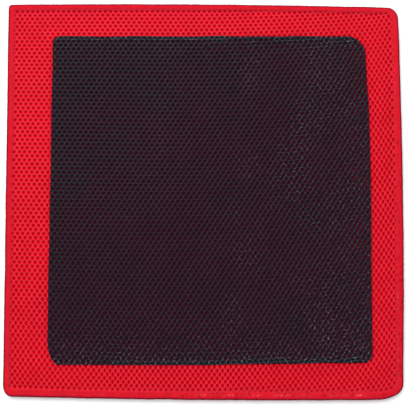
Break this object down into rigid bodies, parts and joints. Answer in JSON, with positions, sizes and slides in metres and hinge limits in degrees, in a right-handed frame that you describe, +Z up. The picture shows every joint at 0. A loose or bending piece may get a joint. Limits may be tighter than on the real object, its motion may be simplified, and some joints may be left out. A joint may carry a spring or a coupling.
{
  "type": "mesh surface prep towel",
  "caption": "Flat square towel of two plies of air mesh with turned edges and a perforated rubber working panel bonded to its front.",
  "frame": {"origin": "middle of the underside, on the surface that the towel lies on", "axes": "+X left to right across the working face, +Y from its near side to its far side, +Z up out of the working face"},
  "size_m": [0.3, 0.3, 0.0052],
  "materials": {
    "air_mesh": "red polyester air mesh with staggered oval holes, slight sheen",
    "polymer_rubber": "black synthetic rubber, semi-gloss, following the mesh",
    "sewing_thread": "red polyester sewing thread"
  },
  "bodies": {
    "root": {"front_mesh": "air_mesh", "back_mesh": "air_mesh", "clay_panel": "polymer_rubber", "seam_needle_thread": "sewing_thread", "seam_upper_looper_thread": "sewing_thread", "seam_lower_looper_thread": "sewing_thread", "closing_thread": "sewing_thread"}
  },
  "joints": []
}
